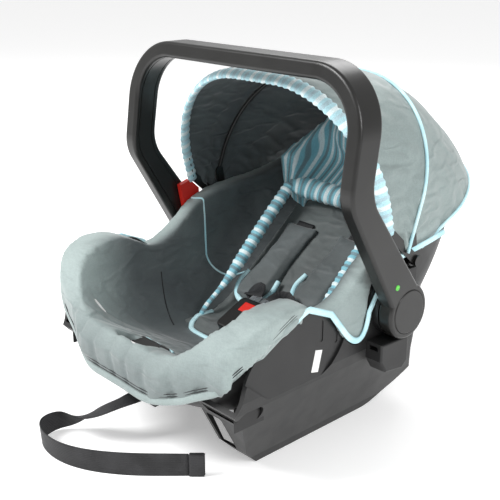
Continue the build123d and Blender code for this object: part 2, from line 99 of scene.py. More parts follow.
studio.links.new(studio.nodes.new("ShaderNodeLightPath").outputs["Is Camera Ray"], either.inputs[0])
studio.links.new(glow.outputs[0], either.inputs[1])
studio.links.new(backdrop.outputs[0], either.inputs[2])
studio.links.new(either.outputs[0], studio.nodes["World Output"].inputs[0])
scene.view_settings.view_transform = "Standard"

bpy.ops.mesh.primitive_plane_add(size=worldLook["floor"])
floor = bpy.context.object
floor.name = "floor"


# shader tools
class Wire:  # a socket that sums like a number
    def __init__(self, finish, socket):
        self.finish = finish
        self.socket = socket

    def sums(self, operation, first, second):
        return self.finish.node("ShaderNodeMath", {"operation": operation}, {0: first, 1: second})

    def __add__(self, other):
        return self.sums("ADD", self, other)

    def __radd__(self, other):
        return self.sums("ADD", other, self)

    def __sub__(self, other):
        return self.sums("SUBTRACT", self, other)

    def __rsub__(self, other):
        return self.sums("SUBTRACT", other, self)

    def __mul__(self, other):
        return self.sums("MULTIPLY", self, other)

    def __rmul__(self, other):
        return self.sums("MULTIPLY", other, self)


class Finish:  # a material being mixed
    def __init__(self, name, **shine):
        self.material = bpy.data.materials.new(name)
        self.material.use_nodes = True
        self.tree = self.material.node_tree
        self.shader = self.tree.nodes["Principled BSDF"]
        for socket, value in shine.items():
            self.shader.inputs[socket.replace("_", " ")].default_value = value

    def plug(self, socket, value):
        if isinstance(value, Wire):
            self.tree.links.new(value.socket, socket)
        else:
            socket.default_value = value

    def node(self, kind, settings=None, values=None, out=0):
        made = self.tree.nodes.new(kind)
        for key, value in (settings or {}).items():
            if key == "stops":
                made.color_ramp.elements[0].position = value[0][0]
                made.color_ramp.elements[0].color = value[0][1]
                made.color_ramp.elements[1].position = value[-1][0]
                made.color_ramp.elements[1].color = value[-1][1]
                for spot, colour in value[1:-1]:
                    made.color_ramp.elements.new(spot).color = colour
            else:
                setattr(made, key, value)
        for key, value in (values or {}).items():
            self.plug(made.inputs[key], value)
        return Wire(self, made.outputs[out])

    def maths(self, operation, value):
        return self.node("ShaderNodeMath", {"operation": operation}, {0: value})

    def shaded(self, colour, amount):
        return self.node("ShaderNodeVectorMath", {"operation": "SCALE"}, {0: colour, "Scale": amount})

    def coords(self, squeeze=(1, 1, 1), turn=(0, 0, 0)):
        start = self.tree.nodes.new("ShaderNodeTexCoord")
        source = Wire(self, start.outputs["Object"])
        return self.node("ShaderNodeMapping", None, {"Vector": source, "Scale": squeeze, "Rotation": turn})

    def noise(self, scale, detail=3, rough=0.5, vector=None):
        values = {"Vector": vector or self.coords(), "Scale": scale, "Detail": detail, "Roughness": rough}
        return self.node("ShaderNodeTexNoise", None, values)

    def mixed(self, factor, first, second):
        values = {0: factor, 6: first, 7: second}
        return self.node("ShaderNodeMix", {"data_type": "RGBA"}, values, out=2)

    def range(self, value, low, high, start=0.0, end=1.0):
        settings = {"interpolation_type": "SMOOTHSTEP"}
        values = {"Value": value, "From Min": low, "From Max": high, "To Min": start, "To Max": end}
        return self.node("ShaderNodeMapRange", settings, values)

    def done(self, colour, roughness, height=None, depth=0.001, strength=1.0):
        self.plug(self.shader.inputs["Base Color"], colour)
        self.plug(self.shader.inputs["Roughness"], roughness)
        if height is not None:
            values = {"Height": height, "Distance": depth, "Strength": strength}
            self.plug(self.shader.inputs["Normal"], self.node("ShaderNodeBump", None, values))
        return self.material


def attribute(finish, name):
    return finish.node("ShaderNodeAttribute", {"attribute_name": name}, None, out=2)


def moulded(name, colour, rough=0.42, grain=900, depth=0.00012, coat=0.0):
    # moulded plastic with fine grain
    finish = Finish(name, Specular_IOR_Level=0.42, Coat_Weight=coat, Coat_Roughness=0.3)
    fine = finish.noise(grain, 2)
    broad = finish.noise(7, 2)
    lighter = tuple(c * 1.2 + 0.001 for c in colour[:3]) + (1,)
    tone = finish.mixed(finish.range(broad, 0.35, 0.7), colour, lighter)
    wear = finish.range(finish.noise(30, 4), 0.3, 0.8, rough - 0.03, rough + 0.05)
    return finish.done(tone, wear, fine, depth, 0.5)


def creased(finish, strength):  # soft long folds with sharp ridges here and there
    long = finish.noise(11, 3, 0.5, finish.coords((1.0, 0.5, 1.3), (0.5, 0.3, 0.8)))
    ridge = finish.noise(17, 2, 0.5, finish.coords((0.6, 0.7, 1.6), (0.2, 0.9, 0.1)))
    sharp = finish.range(finish.maths("ABSOLUTE", ridge - 0.5), 0.0, 0.09, 1.0, 0.0)
    return long * (1.6 * strength) + sharp * (0.34 * strength)


def plainWeave(finish, thread):  # two sets of threads that cross
    warp = finish.noise(thread, 1, 0.5, finish.coords((1, 1, 0.25), (0.35, 0.2, 0.1)))
    weft = finish.noise(thread, 1, 0.5, finish.coords((0.25, 0.4, 1), (0.35, 0.2, 0.1)))
    return warp * 0.5 + weft * 0.5


def clothDone(finish, tone, weave, speck, creases):  # flecks, roughness and relief that every cloth shares
    tone = finish.shaded(tone, finish.range(weave, 0.3, 0.7, *speck))
    height = creased(finish, creases) + weave * 0.05
    return finish.done(tone, finish.range(weave, 0.3, 0.7, 0.5, 0.66), height, 0.005, 0.75)


def wovenCloth(name, dark, light, creases):
    # plain weave with broad tone changes, soft creases and a faint sheen
    finish = Finish(name, Specular_IOR_Level=0.28, Sheen_Weight=0.3, Sheen_Roughness=0.45)
    weave = plainWeave(finish, 620)
    tone = finish.mixed(finish.range(finish.noise(9, 4, 0.6), 0.32, 0.68), dark, light)
    return clothDone(finish, tone, weave, (0.92, 1.07), creases)


# slate is the seat's cloth in painted shade, also used for the canopy's inside; sage is the same cloth
# painted as lit; each Light tone is a random patch tone
slate = (0.072, 0.083, 0.087, 1)
slateLight = (0.098, 0.114, 0.117, 1)
sage = (0.27, 0.325, 0.32, 1)
sageLight = (0.33, 0.395, 0.385, 1)
sky = (0.42, 0.72, 0.80, 1)
paleSky = (0.62, 0.86, 0.90, 1)


def coverCloth():
    # the seat's cloth, one fabric: darker in the hollow as painted shade, paler towards the front lip and
    # outside as painted light
    finish = Finish("cover_cloth", Specular_IOR_Level=0.28, Sheen_Weight=0.25, Sheen_Roughness=0.45)
    weave = plainWeave(finish, 640)
    patches = finish.range(finish.noise(7, 4, 0.6), 0.35, 0.7)
    inner = finish.mixed(patches, slate, slateLight)
    outer = finish.mixed(patches, sage, sageLight)
    # the pale mark blends the painted-shade tones into the painted-light tones
    tone = finish.mixed(attribute(finish, "pale"), inner, outer)
    return clothDone(finish, tone, weave, (0.93, 1.06), 1.0)


def stripedCloth(name, count, pale=False):
    # sky and white stripes over grey, repeated along the piece, count of them to a metre
    finish = Finish(name, Specular_IOR_Level=0.3, Sheen_Weight=0.25, Sheen_Roughness=0.4)
    cycle = finish.maths("FRACT", attribute(finish, "along") * count)
    white = (0.80, 0.92, 0.94, 1)
    grey = (0.45, 0.62, 0.68, 1) if pale else (0.20, 0.30, 0.34, 1)
    blue = (0.48, 0.75, 0.82, 1) if pale else (0.25, 0.56, 0.66, 1)
    stops = [(0.0, grey), (0.16, grey), (0.22, blue), (0.44, blue), (0.5, white), (0.72, white),
             (0.78, blue), (0.94, blue), (1.0, grey)]
    tone = finish.node("ShaderNodeValToRGB", {"stops": stops}, {"Fac": cycle})
    weave = finish.noise(700, 1)
    tone = finish.shaded(tone, finish.range(weave, 0.3, 0.7, 0.88, 1.1))
    height = finish.noise(120, 3, 0.6) * 0.4 + weave * 0.1
    return finish.done(tone, finish.range(weave, 0.3, 0.7, 0.6, 0.78), height, 0.002, 0.5)


def bindingCloth():
    # folded bias tape with a stitch line
    finish = Finish("binding_tape", Specular_IOR_Level=0.35, Sheen_Weight=0.2, Sheen_Roughness=0.4)
    weave = finish.noise(800, 2)
    broad = finish.noise(30, 3)
    tone = finish.mixed(finish.range(broad, 0.3, 0.7), sky, paleSky)
    stitch = finish.maths("FRACT", attribute(finish, "along") * 280)
    height = weave * 0.3 + finish.range(stitch, 0.35, 0.65) * 0.25
    return finish.done(tone, 0.55, height, 0.0008, 0.5)


def webbingCloth():
    # black webbing, ribbed across with a dense edge
    finish = Finish("webbing_black", Specular_IOR_Level=0.35)
    ribs = finish.maths("SINE", attribute(finish, "along") * 3200)
    lanes = finish.maths("SINE", attribute(finish, "across") * 2400)
    broad = finish.noise(40, 3)
    tone = finish.mixed(finish.range(broad, 0.3, 0.7), (0.012, 0.012, 0.013, 1), (0.03, 0.03, 0.032, 1))
    height = ribs * 0.3 + lanes * 0.4
    return finish.done(tone, finish.range(broad, 0.3, 0.7, 0.5, 0.65), height, 0.0007, 0.6)


def brushedSteel():
    finish = Finish("plated_steel", Metallic=1.0)
    scratch = finish.noise(300, 3, 0.6, finish.coords((1, 0.1, 1)))
    shine = finish.range(scratch, 0.3, 0.7, 0.22, 0.4)
    return finish.done((0.55, 0.56, 0.58, 1), shine, scratch, 0.0002, 0.3)


def greenLamp():
    finish = Finish("indicator_green", Specular_IOR_Level=0.5)
    patch = finish.noise(500, 2)
    tone = finish.mixed(finish.range(patch, 0.3, 0.7), (0.05, 0.42, 0.03, 1), (0.12, 0.62, 0.06, 1))
    return finish.done(tone, 0.3, patch, 0.0001, 0.3)


def paperLabel():
    finish = Finish("label_film", Specular_IOR_Level=0.4)
    fibre = finish.noise(260, 3)
    tone = finish.mixed(finish.range(fibre, 0.3, 0.7), (0.74, 0.74, 0.72, 1), (0.84, 0.84, 0.83, 1))
    return finish.done(tone, 0.5, fibre, 0.0001, 0.3)


def foamBlock():
    finish = Finish("foam_white", Specular_IOR_Level=0.3)
    cells = finish.node("ShaderNodeTexVoronoi", None, {"Vector": finish.coords(), "Scale": 260.0})
    tone = finish.mixed(finish.range(cells, 0.1, 0.6), (0.72, 0.72, 0.7, 1), (0.86, 0.86, 0.85, 1))
    return finish.done(tone, 0.8, cells, 0.0006, 0.5)


floorLook = {"Specular_IOR_Level": 0.1, "Emission_Color": plainWhite, "Emission_Strength": 0.32}
floorFinish = Finish("floor_paper", **floorLook)
floor.data.materials.append(floorFinish.done((0.93, 0.93, 0.93, 1), 0.9))
blackShell = moulded("shell_black", (0.011, 0.011, 0.0112, 1), 0.44, 700, 0.00016)
blackHandle = moulded("handle_black", (0.008, 0.0078, 0.0072, 1), 0.33, 900, 0.00006, 0.1)
redPlastic = moulded("red_plastic", (0.62, 0.022, 0.014, 1), 0.32)
steel = brushedSteel()
binding = bindingCloth()
webbing = webbingCloth()
clothLook = {  # dark tone, light tone and strength of the creases
    # the canopy's inside takes the cover's slate tones: painted shade on the same cloth
    "canopy_inside_shaded": (slate, slateLight, 1.2),
    "canopy_cloth": ((0.22, 0.27, 0.265, 1), (0.27, 0.325, 0.318, 1), 1.0),
    "insert_cloth": ((0.095, 0.106, 0.106, 1), (0.135, 0.152, 0.15, 1), 1.2),
    "pad_cloth": ((0.085, 0.096, 0.097, 1), (0.12, 0.136, 0.138, 1), 0.8),
}
insideShade, canopyCloth, insertCloth, padCloth = (wovenCloth(name, *look) for name, look in clothLook.items())
coverFinish = coverCloth()
rollStripes = stripedCloth("roll_stripes", 1 / 0.021)
hoodStripes = stripedCloth("hood_stripes", 1 / 0.024, pale=True)
panelStripes = stripedCloth("panel_stripes", 1 / 0.0155)
lamp = greenLamp()

dress = {
    "seat_shell": blackShell, "rocker_rail_left": blackShell, "rocker_rail_right": blackShell,
    "hub_base_left": blackShell, "hub_base_right": blackShell, "lap_belt_hook_left": blackShell,
    "lap_belt_hook_right": blackShell, "buckle_body": blackHandle, "adjuster_housing": blackShell,
    "adjuster_button": blackHandle, "strap_guide": blackShell, "canopy_knob_left": blackHandle,
    "canopy_knob_right": blackHandle, "canopy_front_bow": blackHandle, "canopy_middle_bow": blackHandle,
    "handle_outer_shell": blackHandle, "handle_inner_shell": blackHandle, "hub_button_left": blackHandle,
    "hub_button_right": blackHandle, "lock_gear_left": steel, "lock_gear_right": steel,
    "pivot_screw_left": steel, "pivot_screw_right": steel, "buckle_tongue_left": steel,
    "buckle_tongue_right": steel, "belt_guide_left": redPlastic, "belt_guide_right": redPlastic,
    "buckle_button": redPlastic, "lock_indicator_left": lamp, "lock_indicator_right": lamp,
    "rating_label": paperLabel(), "foam_liner": foamBlock(),
}
for name, finish in dress.items():
    if name in nodes:
        nodes[name].data.materials.clear()
        nodes[name].data.materials.append(finish)
print("materials ready")


# mesh tools
def newPiece(name, corners, faces, finish):
    mesh = bpy.data.meshes.new(name)
    mesh.from_pydata([tuple(c) for c in corners], [], faces)
    mesh.update()
    piece = bpy.data.objects.new(name, mesh)
    scene.collection.objects.link(piece)
    mesh.materials.append(finish)
    mesh.polygons.foreach_set("use_smooth", [True] * len(mesh.polygons))
    return piece


def outward(piece):
    form = bmesh.new()
    form.from_mesh(piece.data)
    bmesh.ops.recalc_face_normals(form, faces=form.faces)
    form.to_mesh(piece.data)
    form.free()


def mark(piece, name, values):
    data = piece.data.attributes.new(name, "FLOAT", "POINT")
    data.data.foreach_set("value", values)


def applyAll(piece):
    bpy.ops.object.select_all(action="DESELECT")
    bpy.context.view_layer.objects.active = piece
    piece.select_set(True)
    for modifier in list(piece.modifiers):
        bpy.ops.object.modifier_apply(modifier=modifier.name)
    piece.select_set(False)


def splinePoints(name, points, steps=12, order=3):
    # points along a smooth open spline through the route's control points
    curve = bpy.data.curves.new(name, "CURVE")
    curve.dimensions = "3D"
    spline = curve.splines.new("NURBS")
    spline.points.add(len(points) - 1)
    for knot, point in zip(spline.points, points):
        knot.co = (*point, 1)
    spline.order_u = order
    spline.use_endpoint_u = True
    spline.resolution_u = steps
    holder = bpy.data.objects.new(name, curve)
    scene.collection.objects.link(holder)
    bpy.context.view_layer.update()
    evaluated = holder.evaluated_get(bpy.context.evaluated_depsgraph_get())
    line = bpy.data.meshes.new_from_object(evaluated)
    found = [v.co.copy() for v in line.vertices]
    bpy.data.objects.remove(holder)
    bpy.data.meshes.remove(line)
    return found


def evenPoints(points, gap):
    # the same line, resampled at a steady gap
    kept = [points[0].copy()]
    spare = 0.0
    for first, second in zip(points, points[1:]):
        run = (second - first).length
        while run > 1e-9 and spare + run >= gap:
            step = gap - spare
            first = first + (second - first) * (step / run)
            kept.append(first.copy())
            run = (second - first).length
            spare = 0.0
        spare += run
    if (kept[-1] - points[-1]).length > gap * 0.3:
        kept.append(points[-1].copy())
    return kept


def runs(points):
    total, found = 0.0, [0.0]
    for first, second in zip(points, points[1:]):
        total += (second - first).length
        found.append(total)
    return found


def evened(values, reach):  # each value replaced by the mean of itself and its neighbours
    found = []
    for index in range(len(values)):
        near = values[max(0, index - reach):index + reach + 1]
        found.append(sum(near[1:], near[0]) / len(near))
    return found


def tangent(points, index):
    return (points[min(index + 1, len(points) - 1)] - points[max(index - 1, 0)]).normalized()


def sweptTube(name, points, width, height, up, finish, sides=12, shape=None):
    # tube with a flattened section: width across, height along the up direction
    along = runs(points)
    corners, faces, marks = [], [], []
    for index, point in enumerate(points):
        ahead = tangent(points, index)
        lift = up(point) if callable(up) else Vector(up)
        lift = (lift - ahead * lift.dot(ahead)).normalized()
        across = ahead.cross(lift)
        share = along[index] / max(along[-1], 1e-9)
        for side in range(sides):
            angle = 2 * math.pi * side / sides
            swell = shape(along[index], share, angle) if shape else 1.0
            wide = across * (math.cos(angle) * width / 2 * swell)
            tall = lift * (math.sin(angle) * height / 2 * swell)
            corners.append(point + (wide + tall))
            marks.append(along[index])
    count = len(points)
    for ring in range(count - 1):
        for side in range(sides):
            a, b = ring * sides + side, ring * sides + (side + 1) % sides
            faces.append((a, b, b + sides, a + sides))
    faces.append(tuple(range(sides)))
    faces.append(tuple(range((count - 1) * sides, count * sides)))
    piece = newPiece(name, corners, faces, finish)
    mark(piece, "along", marks)
    outward(piece)
    return piece


def bandPiece(name, points, across, width, thickness, finish, level=False):
    # flat webbing: a band with slightly raised edges, its section a share of the width and thickness
    along = runs(points)
    upper = [(-0.5, 0.35), (-0.46, 0.5), (-0.40, 0.42), (0.0, 0.46), (0.40, 0.42), (0.46, 0.5), (0.5, 0.35)]
    profile = upper + [(u, -v) for u, v in reversed(upper)]
    corners, faces, marks, sides = [], [], [], []
    for index, point in enumerate(points):
        ahead = tangent(points, index)
        flat = across(along[index] / along[-1]) if callable(across) else Vector(across)
        flat = ahead.cross(flat) if level else flat
        flat = (flat - ahead * flat.dot(ahead)).normalized()
        normal = flat.cross(ahead)
        for u, v in profile:
            corners.append(point + flat * (u * width) + normal * (v * thickness))
            marks.append(along[index])
            sides.append(u * width)
    ring = len(profile)
    for row in range(len(points) - 1):
        for side in range(ring):
            a, b = row * ring + side, row * ring + (side + 1) % ring
            faces.append((a, b, b + ring, a + ring))
    faces.append(tuple(range(ring)))
    faces.append(tuple(range((len(points) - 1) * ring, len(points) * ring)))
    piece = newPiece(name, corners, faces, finish)
    mark(piece, "along", marks)
    mark(piece, "across", sides)
    outward(piece)
    return piece


# free end of the harness strap, lying on edge on the floor
strapLook = {
    "width": 0.032,
    "thickness": 0.0018,
    "route": [(-18, -262, 62), (-22, -296, 59), (-48, -322, 42), (-84, -334, 24), (-110, -352, 16.4),
              (-103, -381, 16.2), (-73, -394, 16.2), (-32, -394, 16.2), (10, -377, 16.2), (50, -347, 16.2),
              (82, -315, 16.2), (108, -287, 16.2)],
}
strapLine = splinePoints("strap_line", [place(*p) for p in strapLook["route"]], 14)
strapRun = runs(strapLine)[-1]


def strapTwist(share):
    turned = smoothStep(0.0, 0.1, share)
    upright = smoothStep(0.12, 0.42, share)
    lean = 0.10 * math.sin(share * 9.0) * upright
    return Vector(((1 - 0.25 * turned) * (1 - upright), lean - 0.7 * turned * (1 - upright), upright + 0.02))


size = strapLook["width"], strapLook["thickness"]
freeStrap = bandPiece("free_strap", strapLine, strapTwist, *size, webbing)
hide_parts("adjuster_strap")
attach(freeStrap, "carrier")

endAhead = tangent(strapLine, len(strapLine) - 1)
endSide = endAhead.cross(Vector((0, 0, 1)))
foldLook = {
    "layers": 3, "gap": 0.0026, "start": 0.001, "spots": [0.0, 0.007, 0.014, 0.0195],
    "width": 0.032, "thickness": 0.0021,
}
foldPath = []
for layer in range(foldLook["layers"]):
    spots = foldLook["spots"] if layer % 2 == 0 else reversed(foldLook["spots"])
    for spot in spots:
        aside = endSide * (foldLook["gap"] * (layer - 1))
        foldPath.append(strapLine[-1] + endAhead * (spot + foldLook["start"]) + aside)
foldPath = splinePoints("fold_line", foldPath, 6)
size = foldLook["width"], foldLook["thickness"]
strapStop = bandPiece("strap_stop", foldPath, (0, 0, 1), *size, webbing)
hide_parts("strap_end")
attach(strapStop, "carrier")
print("free strap", round(strapRun, 3))


# soft pieces from their solids
def softCopy(name, source, finish, grow, voxel):
    piece = bpy.data.objects.new(name, nodes[source].data.copy())
    scene.collection.objects.link(piece)
    piece.data.materials.clear()
    piece.data.materials.append(finish)
    form = bmesh.new()
    form.from_mesh(piece.data)
    bmesh.ops.remove_doubles(form, verts=form.verts, dist=0.00002)
    form.normal_update()
    moves = [v.normal * grow for v in form.verts]
    for vertex, move in zip(form.verts, moves):
        vertex.co += move
    form.to_mesh(piece.data)
    form.free()
    remesh = piece.modifiers.new("even", "REMESH")
    remesh.mode = "VOXEL"
    remesh.voxel_size = voxel
    remesh.use_smooth_shade = True
    applyAll(piece)
    return piece


def relax(piece, rounds):
    smoothing = piece.modifiers.new("relax", "SMOOTH")
    smoothing.factor = 0.5
    smoothing.iterations = rounds
    applyAll(piece)


puffLook = {"frames": 20, "quality": 4, "mass": 0.3, "stiff": 12, "bend": 0.4}


def puffUp(piece, pressure, cap):
    # blow the closed cloth up a little, and keep every point near its place
    before = [v.co.copy() for v in piece.data.vertices]
    cloth = piece.modifiers.new("puff", "CLOTH")
    cloth.settings.quality = puffLook["quality"]
    cloth.settings.mass = puffLook["mass"]
    cloth.settings.use_pressure = True
    cloth.settings.uniform_pressure_force = pressure
    cloth.settings.tension_stiffness = puffLook["stiff"]
    cloth.settings.compression_stiffness = puffLook["stiff"]
    cloth.settings.bending_stiffness = puffLook["bend"]
    cloth.settings.effector_weights.gravity = 0
    cloth.collision_settings.use_collision = False
    for step in range(1, puffLook["frames"] + 1):
        scene.frame_set(step)
    shape = piece.evaluated_get(bpy.context.evaluated_depsgraph_get()).data
    after = [v.co.copy() for v in shape.vertices]
    piece.modifiers.remove(cloth)
    for vertex, first, second in zip(piece.data.vertices, before, after):
        move = second - first
        if move.length > cap:
            move = move * (cap / move.length)
        vertex.co = first + move
    scene.frame_set(1)


def shift(piece, rule):  # every point moved by what the rule says for its place and normal
    form = bmesh.new()
    form.from_mesh(piece.data)
    form.normal_update()
    moves = [rule(v.co, v.normal) for v in form.verts]
    for vertex, move in zip(form.verts, moves):
        vertex.co += move
    form.to_mesh(piece.data)
    form.free()
    piece.data.update()


coverLook = {
    "grow": 0.0014, "voxel": 0.0042, "wrinkle": 0.0030, "wider": 0.030, "forward": 0.013, "higher": 0.004,
    "hollow": [(-0.40, 0.112), (-0.325, 0.112), (-0.281, 0.128), (-0.247, 0.144), (-0.210, 0.156),
               (-0.155, 0.164), (0.0, 0.167)],
}
seatCover = softCopy("seat_cover_cloth", "seat_cover", coverFinish, coverLook["grow"], coverLook["voxel"])
relax(seatCover, 3)


def hollowHalf(y):  # half width of the seat's hollow
    hollow = coverLook["hollow"]
    for (y0, x0), (y1, x1) in zip(hollow, hollow[1:]):
        if y0 <= y <= y1:
            return x0 + (x1 - x0) * (y - y0) / (y1 - y0)
    return hollow[-1][1]


def fullerLip(spot, normal):
    # the padded lip stands wider and further forward than the shell under it
    front = smoothStep(-0.12, -0.235, spot.y) if spot.y < -0.1 else 0.0
    outer = 0.12 + 0.88 * smoothStep(-0.003, 0.012, abs(spot.x) - hollowHalf(spot.y))
    wide = front * smoothStep(0.03, 0.15, abs(spot.x)) * coverLook["wider"] * outer
    rise = coverLook["higher"] * front * smoothStep(0.14, 0.2, spot.z)
    return Vector((math.copysign(wide, spot.x), -coverLook["forward"] * front, rise))


shift(seatCover, fullerLip)


def coverWrinkle(spot, normal):
    # long soft folds, stronger in the front crease
    front = smoothStep(-0.12, -0.26, spot.y) if spot.y < -0.1 else 0.0
    fold = noise.noise(Vector((spot.x * 9, spot.y * 22, spot.z * 26)))
    fine = noise.noise(Vector((spot.x * 26, spot.y * 60, spot.z * 60)))
    around = math.atan2(spot.y + 0.10, spot.x)
    pleat = max(0.0, math.sin(around * 34 + noise.noise(spot * 10) * 4.0)) ** 2
    belt = smoothStep(0.205, 0.165, spot.z) * smoothStep(0.10, 0.13, spot.z) if spot.z < 0.205 else 0.0
    return normal * (coverLook["wrinkle"] * (fold * 0.8 + fine * 0.3 - pleat * front * belt * 0.9))


shift(seatCover, coverWrinkle)
# painted light: the front lip, more so towards its top, and the outer sides are marked pale as if lit; the
# rest of the cover stays in painted shade
paintedLightMarks = []
for vertex in seatCover.data.vertices:
    spot, normal = vertex.co, vertex.normal
    front = smoothStep(-0.13, -0.25, spot.y) if spot.y < -0.12 else 0.0
    outside = smoothStep(0.160, 0.186, abs(spot.x))
    paintedLightMarks.append(min(1.0, max(front * (0.35 + 0.65 * smoothStep(0.12, 0.20, spot.z)), outside)))
mark(seatCover, "pale", paintedLightMarks)
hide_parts("seat_cover")
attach(seatCover, "carrier")
print("seat cover", len(seatCover.data.polygons))

insertLook = {"grow": -0.0006, "voxel": 0.005, "pressure": 4.0, "cap": 0.006, "wrinkle": 0.0026}
bodyInsert = softCopy("body_insert_pad", "body_insert", insertCloth, insertLook["grow"], insertLook["voxel"])
puffUp(bodyInsert, insertLook["pressure"], insertLook["cap"])
relax(bodyInsert, 2)


def insertWrinkle(spot, normal):
    fold = noise.noise(Vector((spot.x * 30, spot.y * 8, spot.z * 9)))
    return normal * (insertLook["wrinkle"] * fold * smoothStep(0.0, 0.4, normal.z))


shift(bodyInsert, insertWrinkle)
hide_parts("body_insert")
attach(bodyInsert, "carrier")
print("insert", len(bodyInsert.data.polygons))

huggerLook = {"grow": -0.001, "voxel": 0.005, "pressure": 5.0, "cap": 0.008}
hugger = softCopy("head_hugger_pad", "head_hugger", panelStripes, huggerLook["grow"], huggerLook["voxel"])
puffUp(hugger, huggerLook["pressure"], huggerLook["cap"])
relax(hugger, 2)
mark(hugger, "along", [v.co.x for v in hugger.data.vertices])
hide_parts("head_hugger")
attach(hugger, "carrier")

slope = 0.775  # rise of the backrest
backNormal = Vector((0, -0.6126, 0.7904))


def onRecline(x, y, lift):
    return place(x, y, 88 + slope * (y + 45)) + backNormal * (lift / 1000)


padLook = {
    "grow": -0.0008, "voxel": 0.004, "pressure": 4.0, "cap": 0.005, "reach": 0.018, "round": 0.030,
    "flare": 0.16, "half": 0.0365, "bindingWidth": 0.0085, "bindingHeight": 0.0075, "bindingLift": 0.0035,
}
padEnds = {"left": (onRecline(-55, 112, 18), onRecline(-59, -20, 19)),
           "right": (onRecline(55, 112, 18), onRecline(44, 0, 19))}
edgeLook = {"up": 0.034, "drop": 0.036, "step": 0.0022, "straight": 8, "bend": 24}


def padEdge(step):
    # how far up and aside the binding is at a step: down one side, round the low end and up the other
    straight, bend = edgeLook["straight"], edgeLook["bend"]
    if straight <= step <= straight + bend:
        angle = math.pi * (step - straight) / bend
        return edgeLook["up"] - edgeLook["drop"] * math.sin(angle), padLook["half"] * math.cos(angle)
    hand = 1 if step < straight else -1
    past = straight - step if step < straight else step - straight - bend
    up = edgeLook["up"] + edgeLook["step"] * past
    return up, hand * padLook["half"] * (1 - 0.10 * smoothStep(0.03, 0.06, up))


for side in ("left", "right"):
    name = "shoulder_pad_" + side
    pad = softCopy("shoulder_pad_cloth_" + side, name, padCloth, padLook["grow"], padLook["voxel"])
    puffUp(pad, padLook["pressure"], padLook["cap"])
    relax(pad, 2)
    top, low = padEnds[side]
    upward = (top - low).normalized()
    sideways = upward.cross(backNormal).normalized()
    lowest = min((v.co - low).dot(upward) for v in pad.data.vertices)

    def roundedEnd(spot, normal):
        up = (spot - low).dot(upward) - lowest
        out = (spot - low).dot(sideways)
        flare = smoothStep(0.075, 0.02, up) if up < 0.075 else 0.0
        down = -padLook["reach"] * (1 - smoothStep(0.0, 0.06, up)) if up < 0.06 else 0.0
        bow = math.sqrt(max(0.0, 1 - (max(0.0, padLook["round"] - up) / padLook["round"]) ** 2))
        scale = (1 + padLook["flare"] * flare) * (0.30 + 0.70 * bow)
        return sideways * (out * (scale - 1)) + upward * down

    shift(pad, roundedEnd)
    foot = low + upward * (lowest - padLook["reach"] * 0.9) + backNormal * padLook["bindingLift"]
    steps = range(2 * edgeLook["straight"] + edgeLook["bend"] + 1)
    edge = [foot + upward * up + sideways * out for up, out in map(padEdge, steps)]
    size = padLook["bindingWidth"], padLook["bindingHeight"]
    trim = sweptTube("pad_binding_" + side, edge, *size, backNormal, binding, 10)
    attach(trim, "carrier")
    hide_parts("shoulder_pad_" + side)
    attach(pad, "carrier")
print("pads ready")


# harness webbing
buckleNormal = Vector((0, -0.42, 0.91)).normalized()
buckleUp = Vector((0, 0.91, 0.42)).normalized()


def onBuckle(x, y, z):
    return place(x, -92, 131) + buckleUp * (y / 1000) + buckleNormal * (z / 1000)


harness = {
    "left": [onRecline(-55, 112, 18), onRecline(-57, 46, 18.5), onRecline(-59, -6, 19),
             onRecline(-56, -30, 19), onBuckle(-24, 66, 2), onBuckle(-22, 44, -0.5)],
    "right": [onRecline(55, 112, 18), onRecline(50, 56, 18.5), onRecline(44, 0, 19),
              onRecline(41, -22, 19), onBuckle(24, 66, 2), onBuckle(22, 44, -0.5)],
}
webLook = {
    "gap": 0.004, "width": 0.034, "thickness": 0.0018, "crotchWidth": 0.038, "crotchThickness": 0.0022,
}
for side, route in harness.items():
    line = evenPoints(splinePoints("harness_line_" + side, route, 12), webLook["gap"])
    size = webLook["width"], webLook["thickness"]
    strap = bandPiece("harness_strap_" + side, line, backNormal, *size, webbing, True)
    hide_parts("shoulder_strap_" + side)
    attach(strap, "carrier")
crotchRoute = [onBuckle(0, -31, 0), onBuckle(0, -44, -4), place(0, -132, 90), place(0, -135, 76),
               place(0, -135, 62)]
crotchLine = evenPoints(splinePoints("crotch_line", crotchRoute, 12), webLook["gap"])
size = webLook["crotchWidth"], webLook["crotchThickness"]
crotch = bandPiece("crotch_webbing", crotchLine, (1, 0, 0), *size, webbing)
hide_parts("crotch_strap")
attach(crotch, "carrier")
print("harness ready")


# canopy: one curved sheet in two parts that meet on the middle bow
hoops = [  # lean back in degrees, foot along Y, half width, height, corner, lower edge
    (-14, 0, 205, 274, 165, 72), (4, 6, 205, 277, 165, 56), (20, 10, 205, 276, 165, 40),
    (43, 10, 200, 280, 155, 66), (65.7, 10, 190, 290, 138, 74),
]
hoopHinge = 220  # height in millimetres that the hoops lean from
hoodCentre = place(0, 40, 300)
canopyLook = {"rows": 30, "columns": 220, "sag": 0.0022, "crease": 0.008, "ripple": 0.0012, "apart": 0.0016}


def hoopSize(row):  # smooth through the hoops, row from 0 at the front to 4 at the back
    low = min(int(row), 3)
    t = row - low
    a, b, c, d = (hoops[min(max(low + k, 0), 4)] for k in (-1, 0, 1, 2))
    found = []
    for p, q, r, s in zip(a, b, c, d):
        found.append(q + 0.5 * t * (r - p + t * (2 * p - 5 * q + 4 * r - s + t * (3 * (q - r) + s - p))))
    return found


